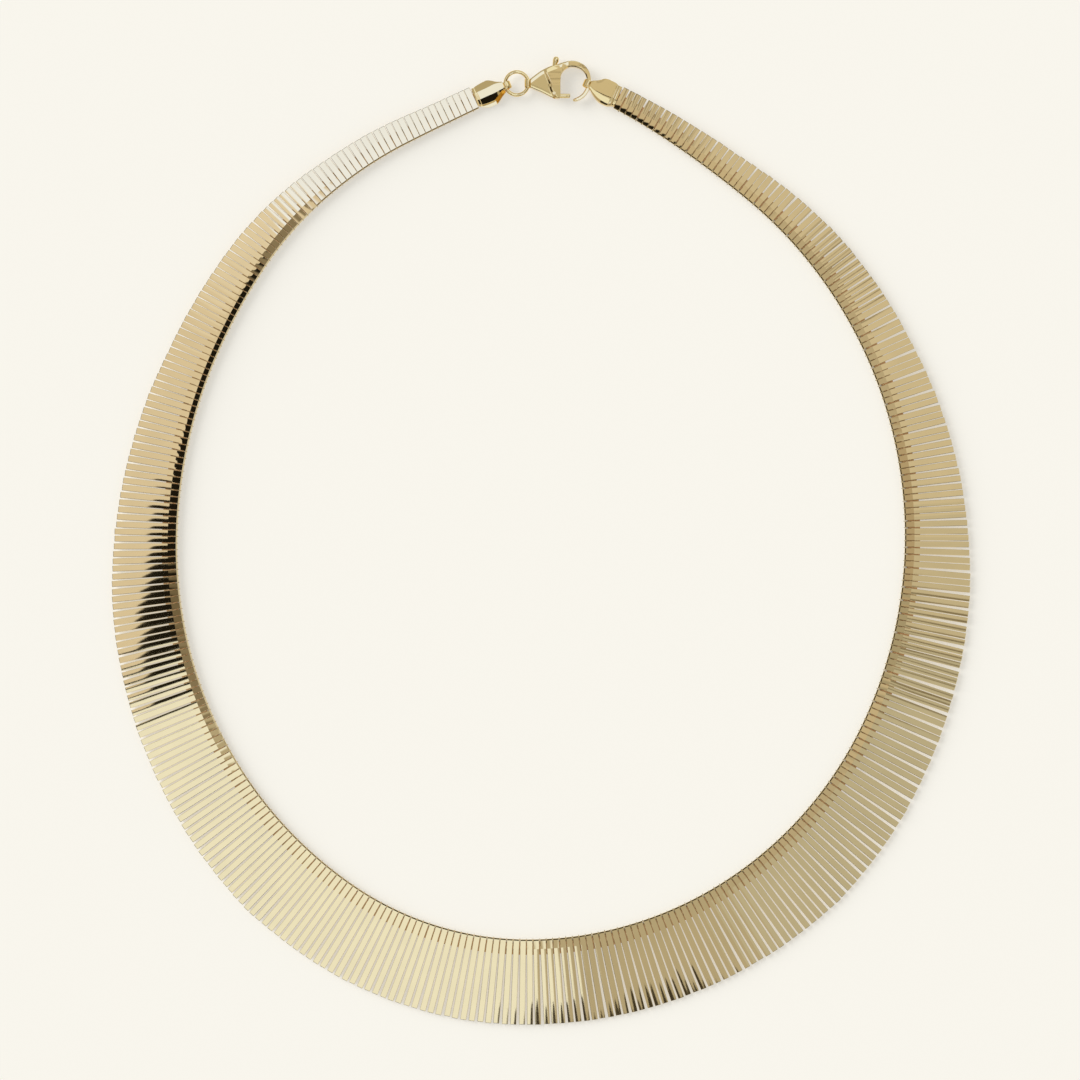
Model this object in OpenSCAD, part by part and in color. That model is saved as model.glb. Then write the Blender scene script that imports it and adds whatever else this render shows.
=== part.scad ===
// Graduated collar necklace: narrow metal bars, folded side by side over a flat core,
// that grow longer from the clasp to the front. It lies flat, with the clasp at +Y and
// the longest bars at -Y. All sizes are in millimetres.

/* [Bars] */
// Spacing of the bars along the inner edge
bar_pitch = 1.205; // [1.19:0.005:1.22]
// Width of one bar
bar_w = 1.04; // [0.95:0.01:1.06]
// Thickness of the sheet that the bars are folded from
sheet_t = 0.36; // [0.3:0.02:0.4]
// Height of the folded inner edge
fold_h = 1.9; // [1.8:0.05:2.2]
// Outer radius of the fold
fold_r = 1.1; // [0.9:0.05:1.2]
// Fall of a bar from its fold to its tip, in degrees
bar_fall = 5; // [3:0.5:5.5]
// Width of the lip that folds back under the core
lip_w = 2.5; // [2.4:0.1:2.8]

/* [Core] */
// Width of the flat core inside the fold
core_w = 1.8; // [1.6:0.1:1.9]
// Thickness of the core
core_t = 0.75; // [0.7:0.05:0.8]

/* [End caps] */
// Distance from a cap's mouth to the middle of its eye
cap_reach = 5.75; // [5.65:0.05:5.95]
// Width of a cap at its mouth
cap_w = 4; // [3.9:0.1:4.3]
// Height of a cap
cap_h = 2.4; // [2.3:0.05:2.6]
// Wall of a cap
cap_wall = 0.3; // [0.25:0.05:0.3]

/* [Ring and clasp] */
// Outer diameter of the jump ring
ring_d = 4.9; // [4.7:0.1:5]
// Wire diameter of the jump ring
ring_wire = 0.65; // [0.6:0.05:0.7]
// Thickness of the clasp's body
clasp_t = 2.6; // [2.4:0.1:2.6]
// Thickness of the clasp's hook
hook_d = 0.86; // [0.8:0.02:0.9]
// Thickness of the lever, across its two faces
lever_t = 0.84; // [0.7:0.02:0.86]

/* [Hidden] */
$fn = 72;

// The inner edge is a run of tangent arcs, from the middle of the front up each side.
// Columns: bars in the arc, radius of the inner edge.
right_run = [[30, 67.2], [30, 69.6], [30, 80], [30, 80.4], [15, 81], [15, 78], [15, 181],
             [10, 112]];
left_run = [[30, 56.6], [30, 74.1], [30, 76.1], [30, 88], [15, 105], [15, 64.4], [15, 73.6],
            [12, 606]];
// Middle of the front's inner edge, and the slope of the edge there in degrees
front = [-0.3, -73.14];
front_slope = 2.07;
// The longest bar lies this many bars to the right of the middle.
longest_at = 0.7;
// Columns: bars from the longest bar, length of the bar there.
bar_lengths = [[0, 15.9], [40, 16.1], [48, 15.5], [64, 14.25], [83, 12.8], [100, 10.9],
               [119, 8.75], [137, 7.4], [155, 5.5], [170, 4.6], [178, 4.3]];
comb_bars = 15;    // bars in one comb, the stretch that one collision hull covers
fold_steps = 5;    // flats that turn the outside of the fold
web_t = 0.2;       // strip that joins the lips of one comb
web_lift = 0.06;   // and its height above the lips' underside
clear = 0.12;      // gap between neighbouring pieces
gold = [0.85, 0.7, 0.42];
gold_shade = [0.68, 0.53, 0.28];

// Walking the inner edge

function turn(bars, radius) = bars * bar_pitch / radius * 180 / PI;
function ahead(heading) = [cos(heading), sin(heading)];
function outward(heading) = [sin(heading), -cos(heading)];
// A place is [point on the inner edge, heading]. This one lies some bars along an arc.
function along(from, bars, radius) =
    let (heading = from[1] + turn(bars, radius))
    [from[0] + radius * (outward(heading) - outward(from[1])), heading];
function arc_start(run, start, k) =
    k == 0 ? start : along(arc_start(run, start, k - 1), run[k - 1][0], run[k - 1][1]);
// The place after `bars` bars of arc k.
function place(run, start, k, bars) = along(arc_start(run, start, k), bars, run[k][1]);
function bars_before(run, k) = k == 0 ? 0 : run[k - 1][0] + bars_before(run, k - 1);
function flip(p) = [-p[0], p[1]];

// The left side is drawn on +x too, and then mirrored.
right_start = [front, front_slope];
left_start = [flip(front), -front_slope];
right_end = arc_start(right_run, right_start, len(right_run));
left_end = arc_start(left_run, left_start, len(left_run));

// Bars

// A bar seen from its side: x runs outwards from the inner edge, y up.
function bar_outline(length) =
    let (fall = (length - fold_r) * tan(bar_fall), inner_r = fold_r - sheet_t, chamfer = 0.3)
    concat(
        [[lip_w, 0], [chamfer, 0], [0, chamfer]],
        [for (i = [0:fold_steps]) let (a = 180 - 90 * i / fold_steps)
            [fold_r + fold_r * cos(a), fold_h - fold_r + fold_r * sin(a)]],
        [[length, fold_h - fall], [length, fold_h - fall - sheet_t], [fold_r, fold_h - sheet_t]],
        [for (a = [135, 180]) [fold_r + inner_r * cos(a), fold_h - fold_r + inner_r * sin(a)]],
        [[sheet_t, sheet_t], [lip_w, sheet_t]]);

module at_edge(where) {
    translate(where[0]) rotate(where[1] - 90) children();
}

module bar(length) {
    rotate([90, 0, 0])
        linear_extrude(bar_w, center = true)
            polygon(bar_outline(length));
}

// The strip between two lines beside the inner edge, as a flat outline.
function strip_outline(places, near, far) = concat(
    [for (p = places) p[0] + near * outward(p[1])],
    [for (i = [len(places) - 1:-1:0]) places[i][0] + far * outward(places[i][1])]);

// One comb: neighbouring bars of arc k, joined by a thin web inside their lips.
module comb(run, start, shift, k, first, count) {
    before = bars_before(run, k) - shift + 0.5;
    for (i = [first:first + count - 1])
        at_edge(place(run, start, k, i + 0.5))
            bar(lookup(abs(before + i), bar_lengths));
    web = [for (i = [first:3:first + count - 2]) place(run, start, k, i + 0.5)];
    web_end = place(run, start, k, first + count - 0.5);
    translate([0, 0, web_lift])
        linear_extrude(web_t)
            polygon(strip_outline(concat(web, [web_end]), 2 * sheet_t, lip_w - sheet_t));
}

module bars(run, start, shift) {
    for (k = [0:len(run) - 1], first = [0:comb_bars:run[k][0] - 1])
        comb(run, start, shift, k, first, min(comb_bars, run[k][0] - first));
}

module bars_right() {
    color(gold) bars(right_run, right_start, longest_at);
}

module bars_left() {
    color(gold) mirror([1, 0, 0]) bars(left_run, left_start, -longest_at);
}

// Core

core_near = fold_r - 0.3;       // from the inner edge, clear of the fold's inside
core_z = sheet_t + clear;
core_tongue = 1.8;              // length of the core inside each cap

function run_places(run, start) =
    [for (k = [0:len(run) - 1], i = [0:5:run[k][0] - 1]) place(run, start, k, i)];
function tongue_end(end) = [end[0] + core_tongue * ahead(end[1]), end[1]];

module core_strip() {
    right = concat(run_places(right_run, right_start), [right_end, tongue_end(right_end)]);
    left = concat(run_places(left_run, left_start), [left_end, tongue_end(left_end)]);
    mirrored = [for (i = [len(left) - 1:-1:1]) [flip(left[i][0]), -left[i][1]]];
    color(gold_shade)
        translate([0, 0, core_z])
            linear_extrude(core_t)
                polygon(strip_outline(concat(mirrored, right), core_near, core_near + core_w));
}

// Eyes: short tubes whose hole runs sideways, for a ring or hook to pass through

link_z = clasp_t / 2;           // height of the middle of the ring and the clasp
eye_w = 1.1;
eye_wall = 0.27;

module eye(radius) {
    rotate([90, 0, 0])
        difference() {
            cylinder(r = radius, h = eye_w, center = true);
            cylinder(r = radius - eye_wall, h = eye_w + 1, center = true);
        }
}

// The room that an eye's hole needs in the neck behind it.
module eye_room(radius) {
    rotate([90, 0, 0]) cylinder(r = radius - eye_wall, h = 2 * eye_w, center = true);
}

// End caps, drawn with the mouth at x = 0, the eye ahead on +x and z up

cap_eye_r = 0.95;
cap_bulge = 0.9;                // a cap's extra width halfway
// Gap from the last bar to the cap's mouth, and turn of the cap from the run's heading
right_gap = 0.3;
right_kink = 4.5;
left_gap = 0.45;
left_kink = 2.5;

module cap() {
    shoulder = 2.6;
    throat = cap_reach - cap_eye_r;
    corner = 0.7;
    widest = cap_w + cap_bulge;
    difference() {
        union() {
            intersection() {
                // Seen from above: a slight bulge, then drawn in to the eye
                linear_extrude(cap_h)
                    polygon([[0, -cap_w / 2], [shoulder, -widest / 2], [throat, -eye_w / 2],
                             [cap_reach, -eye_w / 2], [cap_reach, eye_w / 2],
                             [throat, eye_w / 2], [shoulder, widest / 2], [0, cap_w / 2]]);
                // Seen from the side: a back that falls towards the eye
                rotate([90, 0, 0])
                    linear_extrude(widest + 1, center = true)
                        polygon([[0, 0], [shoulder + 1.2, 0], [throat, link_z - cap_eye_r],
                                 [cap_reach, link_z - cap_eye_r], [cap_reach, link_z + cap_eye_r],
                                 [throat, link_z + cap_eye_r], [shoulder, cap_h], [0, cap_h]]);
                // Seen from the mouth: sloping top corners
                rotate([90, 0, 90])
                    linear_extrude(cap_reach)
                        polygon([[-widest / 2, 0], [widest / 2, 0],
                                 [widest / 2, cap_h - 1.5 * corner],
                                 [widest / 2 - 1.5 * corner, cap_h],
                                 [corner - widest / 2, cap_h],
                                 [-widest / 2, cap_h - corner]]);
            }
            translate([cap_reach, 0, link_z]) eye(cap_eye_r);
        }
        // The hollow that takes the core's end
        translate([-1, cap_wall - cap_w / 2, cap_wall])
            cube([1 + shoulder, cap_w - 2 * cap_wall, cap_h - 1 - cap_wall]);
        translate([cap_reach, 0, link_z]) eye_room(cap_eye_r);
    }
}

// A cap's mouth as [point, heading].
function cap_mouth(end, gap, kink) =
    [end[0] + lookup(178, bar_lengths) / 2 * outward(end[1]) + gap * ahead(end[1]),
     end[1] + kink];
function cap_eye(mouth) = mouth[0] + cap_reach * ahead(mouth[1]);
right_mouth = cap_mouth(right_end, right_gap, right_kink);
left_mouth = cap_mouth(left_end, left_gap, left_kink);

module at_mouth(mouth) {
    translate(mouth[0]) rotate(mouth[1]) children();
}

module cap_right() { color(gold) at_mouth(right_mouth) cap(); }
module cap_left() { color(gold) mirror([1, 0, 0]) at_mouth(left_mouth) cap(); }

// Ring and clasp lie along the line between the caps' eyes

right_eye = cap_eye(right_mouth);
left_eye = flip(cap_eye(left_mouth));
eye_span = norm(right_eye - left_eye);
link_line = (right_eye - left_eye) / eye_span;
ring_r = (ring_d - ring_wire) / 2;
ring_slack = 0.08;              // the ring lies this far off the middle of the cap's eye
ring_lean = 9;                  // turn of the ring's middle from the line, about that eye
ring_step = (ring_r - ring_slack) * ahead(ring_lean);

// The place x along the line and y beside it, from the left cap's eye.
function beside_line(x, y) = left_eye + x * link_line + y * [-link_line[1], link_line[0]];

module jump_ring() {
    middle = beside_line(ring_step[0], ring_step[1]);
    color(gold)
        translate([middle[0], middle[1], link_z])
            rotate_extrude() translate([ring_r, 0]) circle(d = ring_wire);
}

// The clasp is drawn with the middle of its hook at [0, 0] and its eye towards -x.

hook_r = 3.3;
clasp_rise = 0.75;              // of the hook's middle above the line of the eyes
hook_hold = asin(clasp_rise / hook_r);
hook_at = eye_span - hook_r * cos(hook_hold);
// The clasp's own eye, level with the ring's middle
clasp_eye = [ring_step[0] + ring_r - hook_at, ring_step[1] - clasp_rise];
clasp_eye_r = 0.8;
hook_from = -81;                // angle of the hook's tip
hook_to = 105;                  // and of its root inside the body
// The opening's left side is an arc that runs straight down to the gate.
bite_r = 2.2;
bite_x = 0.32;
// Plan of the body, with columns x, y, from the neck over the top to the pin.
body_plan = [[-7.1, 0.15], [-3.3, 3], [-2.4, 3.25], [-1.2, 3.5], [0.2, 3.7], [0.2, 2.9],
             [-1.2, 1.5], [-1.2, -3.1], [-3, -3.1], [-7.1, -1.05]];
// Side of the body, with columns x, half thickness.
body_side = [[-9, 0.65], [-7.1, 0.65], [-4.7, clasp_t / 2], [-2.7, clasp_t / 2], [-1, 0.6],
             [0.3, 0.4]];
pin_at = [-2.95, -2.35];
pin_d = 0.6;
pin_clear = 0.03;
// The lever is drawn about its pin: an arm up to the thumb tab, and the gate to +x.
lever_eye_r = 0.6;
thumb_w = 0.7;
thumb_bend = [0, 5.25];
tab = [0.3, 6.45];
tab_d = 0.96;
gate_w = 0.78;
gate = [3.05, -0.32];
lever_swing = 26;

module at_clasp() {
    middle = beside_line(hook_at, clasp_rise);
    translate([middle[0], middle[1], link_z])
        rotate(atan2(link_line[1], link_line[0]))
            children();
}

// The part of a wire ring between two angles.
module wire_arc(radius, from, to) {
    rotate(from)
        rotate_extrude(angle = to - from)
            translate([radius, 0]) circle(d = hook_d);
}

module arm(from, to, width) {
    reach = to - from;
    translate(from)
        rotate(atan2(reach[1], reach[0]))
            translate([0, -width / 2]) square([norm(reach), width]);
}

// The lever from above, with some room around it.
module lever_plan(room) {
    circle(lever_eye_r + room);
    arm([0, 0], thumb_bend, thumb_w + 2 * room);
    translate(thumb_bend) circle(d = thumb_w + 2 * room);
    arm(thumb_bend, tab, thumb_w + 2 * room);
    arm([0, gate[1]], gate, gate_w + 2 * room);
}

module sector(from, swing) {
    polygon(concat([[0, 0]], [for (i = [0:4]) norm(tab) * ahead(from + swing * i / 4)]));
}

// What the lever sweeps through inside the clasp's body.
module lever_room() {
    linear_extrude(lever_t + 2 * clear, center = true) {
        lever_plan(clear);
        rotate(lever_swing) lever_plan(clear);
        sector(90, lever_swing);
        sector(0, lever_swing);
    }
}

module clasp_body() {
    color(gold) at_clasp() {
        wire_arc(hook_r, hook_from, hook_to);
        translate(clasp_eye) eye(clasp_eye_r);
        difference() {
            intersection() {
                linear_extrude(clasp_t, center = true) polygon(body_plan);
                rotate([90, 0, 0])
                    linear_extrude(10, center = true)
                        polygon(concat(body_side,
                            [for (i = [len(body_side) - 1:-1:0]) [body_side[i][0], -body_side[i][1]]]));
            }
            translate([bite_x, 0]) cylinder(r = bite_r, h = clasp_t + 1, center = true);
            translate([bite_x - bite_r, -5, -clasp_t]) cube([5, 5, 2 * clasp_t]);
            translate(pin_at) lever_room();
            translate(clasp_eye) eye_room(clasp_eye_r);
            translate(pin_at) cylinder(d = pin_d + 2 * pin_clear, h = clasp_t + 1, center = true);
        }
    }
}

module clasp_pin() {
    color(gold_shade) at_clasp()
        translate(pin_at) cylinder(d = pin_d, h = clasp_t - 0.1, center = true);
}

module clasp_lever() {
    color(gold) at_clasp() translate(pin_at) {
        difference() {
            linear_extrude(lever_t, center = true) lever_plan(0);
            cylinder(d = pin_d + 2 * pin_clear, h = clasp_t, center = true);
        }
        translate(tab) sphere(d = tab_d);
    }
}

bars_right();
bars_left();
core_strip();
cap_right();
cap_left();
jump_ring();
clasp_body();
clasp_pin();
clasp_lever();
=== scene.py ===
"""A graduated collar necklace of folded gold bars that lies flat on a pale surface."""

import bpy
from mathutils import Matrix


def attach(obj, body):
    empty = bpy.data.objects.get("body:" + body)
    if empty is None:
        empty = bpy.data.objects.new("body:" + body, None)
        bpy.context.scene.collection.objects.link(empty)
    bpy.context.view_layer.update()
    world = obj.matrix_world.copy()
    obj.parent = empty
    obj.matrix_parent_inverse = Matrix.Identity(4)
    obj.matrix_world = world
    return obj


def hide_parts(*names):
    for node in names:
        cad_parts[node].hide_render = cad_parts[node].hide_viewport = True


bl_info = {
    "name": "Graduated necklace",
    "version": (1, 0, 0),
    "blender": (4, 5, 0),
    "location": "3D View > Sidebar > Necklace",
    "description": "Dresses the necklace's solids with folded bars, end caps, ring and clasp",
    "category": "Object",
}

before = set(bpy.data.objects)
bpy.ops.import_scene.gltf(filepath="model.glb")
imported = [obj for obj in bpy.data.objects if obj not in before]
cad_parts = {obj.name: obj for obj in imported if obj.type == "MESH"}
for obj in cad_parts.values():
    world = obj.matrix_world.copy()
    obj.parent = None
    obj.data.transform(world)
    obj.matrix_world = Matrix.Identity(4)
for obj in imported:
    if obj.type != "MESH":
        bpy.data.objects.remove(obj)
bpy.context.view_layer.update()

import math
from collections import namedtuple

import bpy
import numpy as np
from bpy.props import FloatProperty, FloatVectorProperty, IntProperty, PointerProperty
from mathutils import Vector

MM = 0.001
CHAIN = "necklace"
LEVER = "lever"

# Height of the middle of the caps' straps, the ring and the clasp, in mm
MIDDLE_Z = 1.3

# The inner edge is a run of tangent arcs from the middle of the front up each side, in mm.
Arc = namedtuple("Arc", "bars radius")
RIGHT_ARCS = [Arc(30, 67.2), Arc(30, 69.6), Arc(30, 80), Arc(30, 80.4), Arc(15, 81), Arc(15, 78),
              Arc(15, 181), Arc(10, 112)]
LEFT_ARCS = [Arc(30, 56.6), Arc(30, 74.1), Arc(30, 76.1), Arc(30, 88), Arc(15, 105),
             Arc(15, 64.4), Arc(15, 73.6), Arc(12, 606)]
# Middle of the front's inner edge, and the slope of the edge there
FRONT = np.array([-0.3, -73.14])
FRONT_SLOPE = math.radians(2.07)
# The bars' lengths run alike both ways from a place this many bars to the right of the middle.
LENGTHS_FROM = 0.7
# Columns: bars from that place, length of the bar there in mm
BAR_LENGTHS = [(0, 15.9), (40, 16.1), (48, 15.5), (64, 14.25), (83, 12.8), (100, 10.9),
               (119, 8.75), (137, 7.4), (155, 5.5), (170, 4.6), (178, 4.3)]


class BarSettings(bpy.types.PropertyGroup):
    """Sizes of the folded bars, in mm and degrees"""

    pitch: FloatProperty(name="Pitch", description="Spacing along the inner edge, mm", default=1.205)
    width: FloatProperty(name="Width", description="Width of a bar, mm", default=1.07)
    extra: FloatProperty(name="Extra width", description="Extra width of the bars near the left cap, mm",
                         default=0.07)
    sheet: FloatProperty(name="Sheet", description="Thickness of the folded sheet, mm", default=0.36)
    height: FloatProperty(name="Height", description="Height of the fold's crease, mm", default=1.9)
    fall: FloatProperty(name="Fall", description="Fall of a bar from crease to tip", default=math.radians(5),
                        subtype="ANGLE", unit="ROTATION")
    crown: FloatProperty(name="Crown", description="Turn of the face at a bar's long edges",
                         default=math.radians(0.8), subtype="ANGLE", unit="ROTATION")
    bevel_w: FloatProperty(name="Bevel", description="Width of the bevel of a bar's long edges, mm",
                           default=0.05)
    bevel_h: FloatProperty(name="Bevel drop", description="Drop of that bevel, mm", default=0.04)
    lip: FloatProperty(name="Lip", description="Width of the lip under the core, mm", default=2.5)
    inset: FloatProperty(name="Inset", description="Way that the walls lie behind the loops, mm",
                         default=0.2)
    loop: FloatProperty(name="Loop", description="Thickness of the wire loops in the slots, mm",
                        default=0.12)
    gather: FloatProperty(name="Gather", description="Way that the bars of a group close up, mm",
                          default=0.04)
    gather_turn: FloatProperty(name="Gather turn",
                               description="Turn between the bars of a group as they close up",
                               default=math.radians(0.55), subtype="ANGLE", unit="ROTATION")
    roll: FloatProperty(name="Roll", description="Typical roll of a bar about its length",
                        default=math.radians(0.25), subtype="ANGLE", unit="ROTATION")
    seed: IntProperty(name="Seed", description="Seed of the small differences between bars", default=7)


class ClaspSettings(bpy.types.PropertyGroup):
    """Sizes of the caps, the ring and the clasp, in mm"""

    cap_reach: FloatProperty(name="Cap reach", description="From a cap's mouth to its eye, mm", default=5.75)
    cap_eye: FloatProperty(name="Cap eye", description="Radius of a cap's strap, mm", default=0.95)
    eye_r: FloatProperty(name="Clasp eye", description="Outer radius of the clasp's eye, mm", default=0.7)
    eye_w: FloatProperty(name="Clasp strap", description="Width of the clasp's eye, mm", default=1.62)
    ring_d: FloatProperty(name="Ring", description="Outer diameter of the ring, mm", default=4.9)
    ring_wire: FloatProperty(name="Ring wire", description="Thickness of the ring's wire, mm", default=0.65)
    hook_r: FloatProperty(name="Hook", description="Radius of the hook's middle line, mm", default=3.3)
    rise: FloatProperty(name="Rise", description="Hook's middle above the line of the eyes, mm",
                        default=0.75)
    pin: FloatVectorProperty(name="Pin", description="Place of the lever's pin, mm", size=2,
                             default=(-2.95, -2.35))
    gate_y: FloatProperty(name="Gate", description="Gate's middle beside the pin, mm", default=-0.37)


class GoldSettings(bpy.types.PropertyGroup):
    """Colours and polish of the gold"""

    bars: FloatVectorProperty(name="Bars", description="Colour of the bars' gold", subtype="COLOR",
                              default=(0.90, 0.70, 0.34))
    fittings: FloatVectorProperty(name="Fittings", description="Colour of caps, ring and clasp",
                                  subtype="COLOR", default=(0.90, 0.68, 0.29))
    # The loops' colour is darker than the bars' gold: painted shade along the inner edge.
    loops: FloatVectorProperty(name="Loops", description="Colour of the wire loops' gold", subtype="COLOR",
                               default=(0.62, 0.48, 0.29))
    # The core's deep orange is painted shade: gold as it looks in the shadow of the fold.
    core: FloatVectorProperty(name="Core", description="Colour of the core inside the fold",
                              subtype="COLOR", default=(0.62, 0.33, 0.12))
    polish: FloatProperty(name="Polish", description="Roughness of the polished faces", default=0.025,
                          min=0.02, max=0.6)


class StageSettings(bpy.types.PropertyGroup):
    """Camera, floor and light"""

    frame_mm: FloatProperty(name="Frame", description="Width that the picture spans, mm", default=198.72)
    camera_mm: FloatProperty(name="Camera height", description="Height of the camera, mm", default=601)
    middle: FloatVectorProperty(name="Middle", description="Point under the camera, mm", size=2,
                                default=(-0.2, 0.13))
    floor: FloatVectorProperty(name="Floor", description="Colour of the floor in full light",
                               subtype="COLOR", default=(0.956, 0.930, 0.855))
    glow: FloatProperty(name="Glow", description="Share of the floor's light that no shadow takes",
                        default=0.5)
    sky: FloatProperty(name="Sky", description="Strength of the light tent", default=1.0)
    room: FloatProperty(name="Room", description="Strength of the even light from all round", default=0.5)
    lamp: FloatProperty(name="Lamp", description="Strength of the soft lamp at the upper left", default=3.4)


def settings():
    return bpy.context.scene.necklace


# Shader maths


class Flow:
    """A socket's output; an expression on it adds the Math nodes that work it out."""

    def __init__(self, graph, output):
        self.graph = graph
        self.output = output

    def maths(self, operation, *values):
        return self.graph.node("ShaderNodeMath", {"operation": operation}, dict(enumerate(values)))

    def __add__(self, other):
        return self.maths("ADD", self, other)

    def __sub__(self, other):
        return self.maths("SUBTRACT", self, other)

    def __rsub__(self, other):
        return self.maths("SUBTRACT", other, self)

    def __mul__(self, other):
        return self.maths("MULTIPLY", self, other)

    def __truediv__(self, other):
        return self.maths("DIVIDE", self, other)

    def __rtruediv__(self, other):
        return self.maths("DIVIDE", other, self)

    __radd__ = __add__
    __rmul__ = __mul__


class Graph:
    """The node tree of a material or a world."""

    def __init__(self, owner):
        owner.use_nodes = True
        self.tree = owner.node_tree
        self.tree.nodes.clear()

    def node(self, kind, options=None, values=None, output=0):
        """Adds a node: its options are set first, then the values or links of its sockets."""
        made = self.tree.nodes.new(kind)
        for name, option in (options or {}).items():
            if name == "stops":
                self.set_stops(made.color_ramp, option)
            else:
                setattr(made, name, option)
        for name, value in (values or {}).items():
            if isinstance(value, Flow):
                self.tree.links.new(value.output, made.inputs[name])
            else:
                made.inputs[name].default_value = value
        return Flow(self, made.outputs[output]) if len(made.outputs) else made

    @staticmethod
    def set_stops(colours, stops):
        while len(colours.elements) < len(stops):
            colours.elements.new(1.0)
        for element, (position, colour) in zip(colours.elements, stops):
            element.position = position
            element.color = (*colour, 1.0)

    def smooth(self, value, low, high):
        """0 below low, 1 above high and a soft step between them."""
        return self.node("ShaderNodeMapRange", {"interpolation_type": "SMOOTHSTEP"},
                         {"Value": value, "From Min": low, "From Max": high})

    def mix(self, share, first, second):
        return self.node("ShaderNodeMix", {"data_type": "RGBA"},
                         {0: share, 6: first, 7: second}, output=2)


def rgba(colour):
    return (*colour, 1.0)


# Sizes that change along a piece


def ramp(value, start, over, least=0.0):
    """The least share up to start, 1 from start + over on, and a straight rise between them."""
    return np.clip((value - start) / over, least, 1)


def eased(share):
    return share ** 2 * (3 - 2 * share)


# Meshes


def add_piece(name, shape, material, body, replaced=(), sharp_over=25):
    """Makes a piece from a shape, shades it smooth apart from its sharp edges, and ties it to a body."""
    points, faces = shape
    mesh = bpy.data.meshes.new(name)
    mesh.from_pydata((np.asarray(points) * MM).tolist(), [], faces)
    mesh.validate()
    mesh.shade_smooth()
    mesh.set_sharp_from_angle(angle=math.radians(sharp_over))
    mesh.materials.append(material)
    piece = bpy.data.objects.new(name, mesh)
    bpy.context.scene.collection.objects.link(piece)
    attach(piece, body)
    if replaced:
        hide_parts(*replaced)
    return piece


def tube_faces(rings, sides, start=0, closed=False):
    """Faces of a tube of rings of points, with a face at each end unless it closes on itself."""
    faces = []
    for i in range(rings if closed else rings - 1):
        here = start + i * sides
        there = start + (i + 1) % rings * sides
        for j in range(sides):
            k = (j + 1) % sides
            faces.append((here + j, here + k, there + k, there + j))
    if not closed:
        faces.append(tuple(start + j for j in reversed(range(sides))))
        faces.append(tuple(start + (rings - 1) * sides + j for j in range(sides)))
    return faces


# Shapes are pairs of points and faces, in mm


def circle(radius, count=32):
    """Points round a circle about (0, 0)."""
    turns = np.linspace(0, 2 * math.pi, count + 1)[:-1]
    return [(radius * math.cos(a), radius * math.sin(a)) for a in turns]


def oval(sides, power):
    """Points round an oval of half width 1; a higher power squares it."""
    turns = np.arange(sides) * 2 * math.pi / sides
    along, up = np.cos(turns), np.sin(turns)
    return np.stack([np.sign(along) * abs(along) ** (2 / power), np.sign(up) * abs(up) ** (2 / power)], 1)


def sweep(path, sizes, sides=20, power=2.0, across=None, closed=False):
    """Carries an oval along a path, as wide and as high as sizes say at each point."""
    path = np.array(path, float)
    step = np.roll(path, -1, 0) - np.roll(path, 1, 0) if closed else np.gradient(path, axis=0)
    step /= np.linalg.norm(step, axis=1)[:, None]
    if across is None:
        across = np.cross((0, 0, 1), step)
    across = np.broadcast_to(across, path.shape)
    up = np.cross(step, across)
    half = np.broadcast_to(sizes, (len(path), 2)) / 2
    round_it = oval(sides, power)
    rings = (path[:, None] + across[:, None] * (round_it[:, :1] * half[:, None, :1])
             + up[:, None] * (round_it[:, 1:] * half[:, None, 1:]))
    return rings.reshape(-1, 3), tube_faces(len(path), sides, closed=closed)


def pillow(top):
    """Closes a grid of points above z = 0 with its mirror image below."""
    rows, columns = top.shape[:2]
    points = np.concatenate([top.reshape(-1, 3), top.reshape(-1, 3) * (1, 1, -1)])
    under = rows * columns
    faces = []
    for i in range(rows - 1):
        for j in range(columns - 1):
            a, b = i * columns + j, (i + 1) * columns + j
            faces.append((a, b, b + 1, a + 1))
            faces.append((under + a, under + a + 1, under + b + 1, under + b))
    rim = list(range(columns))
    rim += [i * columns + columns - 1 for i in range(1, rows)]
    rim += [(rows - 1) * columns + j for j in range(columns - 2, -1, -1)]
    rim += [i * columns for i in range(rows - 2, 0, -1)]
    for a, b in zip(rim, rim[1:] + rim[:1]):
        faces.append((a, b, under + b, under + a))
    return points, faces


def slab(outline, height):
    """A flat prism of an outline, centred on z = 0."""
    count = len(outline)
    points = [(x, y, z) for z in (-height / 2, height / 2) for x, y in outline]
    faces = [tuple(reversed(range(count))), tuple(range(count, 2 * count))]
    faces += [(i, (i + 1) % count, count + (i + 1) % count, count + i) for i in range(count)]
    return np.array(points), faces


def join(shapes):
    points, faces, start = [], [], 0
    for more, its_faces in shapes:
        points.append(more)
        faces += [tuple(start + i for i in face) for face in its_faces]
        start += len(more)
    return np.concatenate(points), faces


def smooth_curve(rows, at):
    """Columns of a table read at some places by a curve through its rows; the first column is the place."""
    rows = np.array(rows, float)
    place = rows[:, 0]
    slope = np.gradient(rows[:, 1:], place, axis=0)
    at = np.atleast_1d(at)
    k = np.clip(np.searchsorted(place, at, side="right") - 1, 0, len(place) - 2)
    span = (place[k + 1] - place[k])[:, None]
    t = np.clip((at - place[k])[:, None] / span, 0, 1)
    a, b = rows[k, 1:], rows[k + 1, 1:]
    return ((1 + 2 * t) * (1 - t) ** 2 * a + t * (1 - t) ** 2 * span * slope[k]
            + t ** 2 * (3 - 2 * t) * b + t ** 2 * (t - 1) * span * slope[k + 1])


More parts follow.
